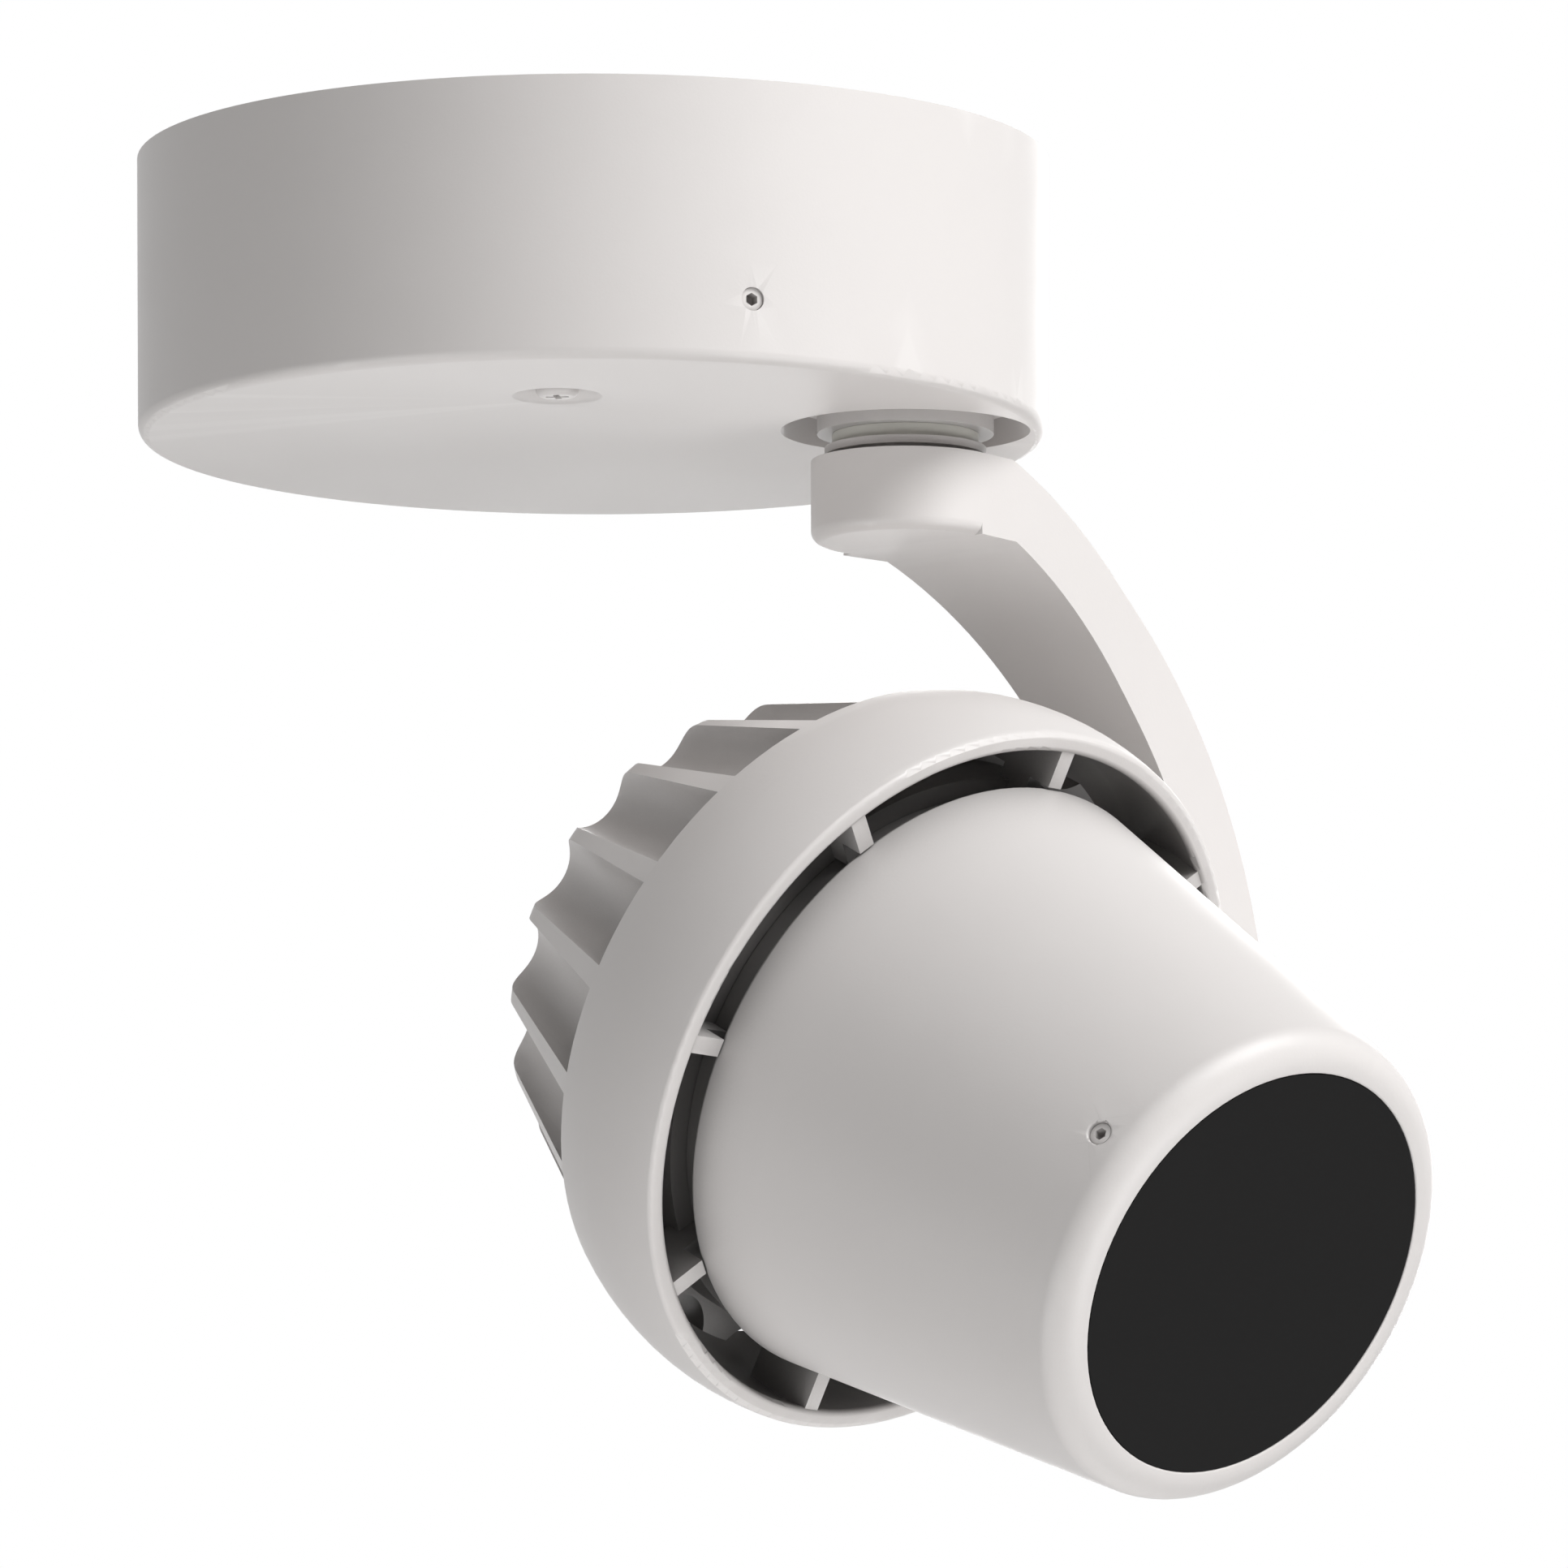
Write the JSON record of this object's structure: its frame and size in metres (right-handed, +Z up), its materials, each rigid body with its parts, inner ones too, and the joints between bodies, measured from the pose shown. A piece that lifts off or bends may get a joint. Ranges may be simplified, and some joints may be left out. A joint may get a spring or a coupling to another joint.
{
  "type": "surface mounted ceiling spotlight",
  "caption": "Surface mounted spotlight: round canopy with built-in driver, curved swivel arm and a tilting tapered lamp head with collar and fluted heat sink.",
  "frame": {"origin": "centre of the ceiling plate's top face, on the canopy's axis", "axes": "+Z up into the ceiling, +X from the canopy's axis towards the swivel axis; the lamp is drawn turned 55 degrees about the swivel and dipped 29 degrees"},
  "size_m": [0.1721, 0.1216, 0.1817],
  "materials": {
    "body_paint": "satin",
    "zinc_sheet": "zinc plated",
    "steel": "zinc plated",
    "rubber": "matte",
    "case_plastic": "matte",
    "circuit_board": "satin",
    "nylon": "matte",
    "brass": "plain",
    "dark_glass": "dark tinted",
    "clamp_aluminium": "anodised",
    "reflector_aluminium": "polished",
    "led_board": "matte",
    "holder_plastic": "matte",
    "pad": "matte"
  },
  "bodies": {
    "canopy": {"canopy_housing": "body_paint", "ceiling_plate": "zinc_sheet", "cable_grommet": "rubber", "canopy_grub_screws": "steel", "driver_case": "case_plastic", "driver_lid": "case_plastic", "driver_board": "circuit_board", "driver_fixing_screw": "steel", "terminal_block": "nylon", "terminal_screws": "brass", "earth_screw": "steel", "pan_bush": "nylon", "pan_stop_pin": "steel"},
    "arm": {"swing_arm": "body_paint", "pan_spindle": "steel", "pan_stop_washer": "steel", "pan_spring_washer": "steel", "pan_nut": "steel", "tilt_cap": "body_paint", "tilt_friction_washer": "nylon", "tilt_spring_washer": "steel"},
    "head": {"tilt_bolt": "steel", "head_ring": "body_paint", "heat_sink": "body_paint", "front_cone": "body_paint", "cone_screws": "steel", "front_glass": "dark_glass", "glass_gasket": "rubber", "glass_clamp_ring": "clamp_aluminium", "clamp_screws": "steel", "reflector": "reflector_aluminium", "led_module": "led_board", "led_holder": "holder_plastic", "led_holder_screws": "steel", "thermal_pad": "pad"}
  },
  "joints": [
    {"name": "pan", "type": "hinge", "parent": "canopy", "child": "arm", "pos_m": [0.0415, 0, -0.0396], "axis": [0, 0, 1], "range_deg": [-225, 115]},
    {"name": "tilt", "type": "hinge", "parent": "arm", "child": "head", "pos_m": [0.0415, 0, -0.1209], "axis": [0.5736, 0.8192, 0], "range_deg": [-29, 61]}
  ]
}
